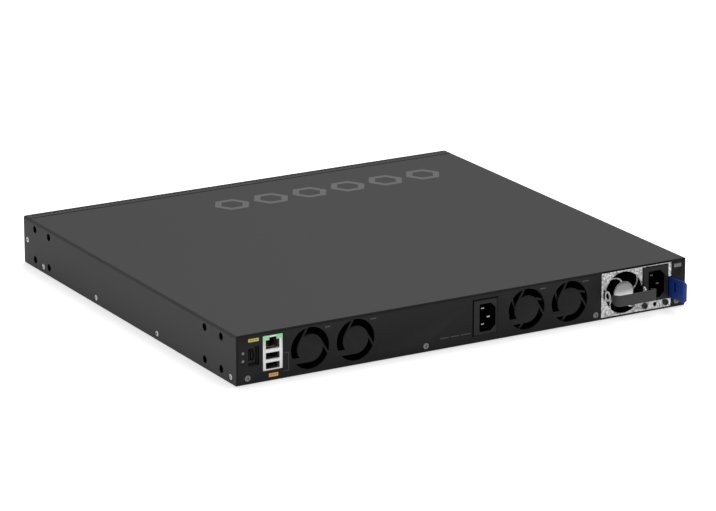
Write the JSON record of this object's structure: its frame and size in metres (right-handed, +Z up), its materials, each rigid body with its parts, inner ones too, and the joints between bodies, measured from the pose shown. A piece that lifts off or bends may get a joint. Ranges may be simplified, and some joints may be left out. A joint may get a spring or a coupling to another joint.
{
  "type": "rackmount network switch",
  "caption": "Flat sheet-metal network switch, one rack unit high, with guarded rear fans, a fixed power supply and a second supply that slides out with its handle and latch.",
  "frame": {"origin": "centre of the chassis's flat underside (half its width, half its depth without the handle and the lever)", "axes": "+X to the right when looking at the rear face, +Y from the rear face to the port side, +Z up"},
  "size_m": [0.44, 0.4226, 0.0432],
  "materials": {
    "cover_paint": "fine matt powder coat, dark grey",
    "panel_paint": "fine matt powder coat, near black",
    "zinc": "zinc-plated sheet steel",
    "steel": "plated steel",
    "black_plastic": "matt moulded black plastic",
    "fan_plastic": "matt moulded fan plastic",
    "circuit_board": "solder mask on a circuit board",
    "aluminium": "extruded aluminium",
    "blue_plastic": "moulded blue plastic, satin",
    "strap_grey": "dark grey moulded strap",
    "lens": "frosted light pipe"
  },
  "bodies": {
    "chassis": {"ac_inlet": "black_plastic", "base_tray": "zinc", "bezel_screw_1": "steel", "bezel_screw_2": "steel", "console_port": "black_plastic", "cover_screw_1": "steel", "cover_screw_2": "steel", "cover_screw_3": "steel", "cover_screw_4": "steel", "cover_screw_5": "steel", "cover_screw_6": "steel", "cover_screw_7": "steel", "cover_screw_8": "steel", "fan_1_frame": "fan_plastic", "fan_2_frame": "fan_plastic", "fan_3_frame": "fan_plastic", "fan_4_frame": "fan_plastic", "front_bezel": "cover_paint", "front_light_bar": "lens", "front_panel": "zinc", "main_board": "circuit_board", "port_block_1": "zinc", "port_block_2": "zinc", "power_backplane": "circuit_board", "rear_panel": "panel_paint", "rear_screw_1": "steel", "rear_screw_2": "steel", "rear_screw_3": "steel", "rear_screw_4": "steel", "service_port_stack": "zinc", "sfp_cage": "zinc", "status_light_1": "lens", "status_light_2": "lens", "supply_bay_cage": "zinc", "supply_board": "circuit_board", "supply_cover": "zinc", "supply_socket": "black_plastic", "supply_transformer": "steel", "switch_chip": "black_plastic", "switch_heatsink": "aluminium", "top_cover": "cover_paint"},
    "mode_button": {"mode_button": "black_plastic"},
    "psu_module": {"psu_face": "zinc", "psu_case": "zinc", "psu_handle": "strap_grey", "psu_inlet": "black_plastic", "psu_board": "circuit_board", "psu_heatsink": "aluminium", "psu_capacitor": "black_plastic", "psu_fan_frame": "fan_plastic", "psu_screw_1": "black_plastic", "psu_screw_2": "black_plastic", "psu_light": "lens", "psu_latch_pin": "steel"},
    "psu_fan": {"psu_fan_rotor": "fan_plastic"},
    "psu_latch": {"psu_latch": "blue_plastic"},
    "fan_1": {"fan_1_rotor": "fan_plastic"},
    "fan_2": {"fan_2_rotor": "fan_plastic"},
    "fan_3": {"fan_3_rotor": "fan_plastic"},
    "fan_4": {"fan_4_rotor": "fan_plastic"}
  },
  "joints": [
    {"name": "fan_1_spin", "type": "hinge", "parent": "chassis", "child": "fan_1", "pos_m": [-0.151, -0.185, 0.022], "axis": [0, 1, 0], "continuous": true},
    {"name": "fan_2_spin", "type": "hinge", "parent": "chassis", "child": "fan_2", "pos_m": [-0.108, -0.185, 0.022], "axis": [0, 1, 0], "continuous": true},
    {"name": "fan_3_spin", "type": "hinge", "parent": "chassis", "child": "fan_3", "pos_m": [0.0585, -0.185, 0.022], "axis": [0, 1, 0], "continuous": true},
    {"name": "fan_4_spin", "type": "hinge", "parent": "chassis", "child": "fan_4", "pos_m": [0.1015, -0.185, 0.022], "axis": [0, 1, 0], "continuous": true},
    {"name": "mode_button_press", "type": "slide", "parent": "chassis", "child": "mode_button", "axis": [0, -1, 0], "range_m": [0, 0.0008], "stiffness_N_per_m": 200, "springref_m": -0.0005},
    {"name": "psu_slide", "type": "slide", "parent": "chassis", "child": "psu_module", "axis": [0, -1, 0], "range_m": [0, 0.19]},
    {"name": "psu_fan_spin", "type": "hinge", "parent": "psu_module", "child": "psu_fan", "pos_m": [0.1566, -0.185, 0.0215], "axis": [0, 1, 0], "continuous": true},
    {"name": "psu_latch_press", "type": "hinge", "parent": "psu_module", "child": "psu_latch", "pos_m": [0.2038, -0.184, 0.0187], "axis": [0, 0, -1], "range_deg": [0, 4.5], "stiffness_Nm_per_rad": 2, "springref_deg": -1.72}
  ]
}
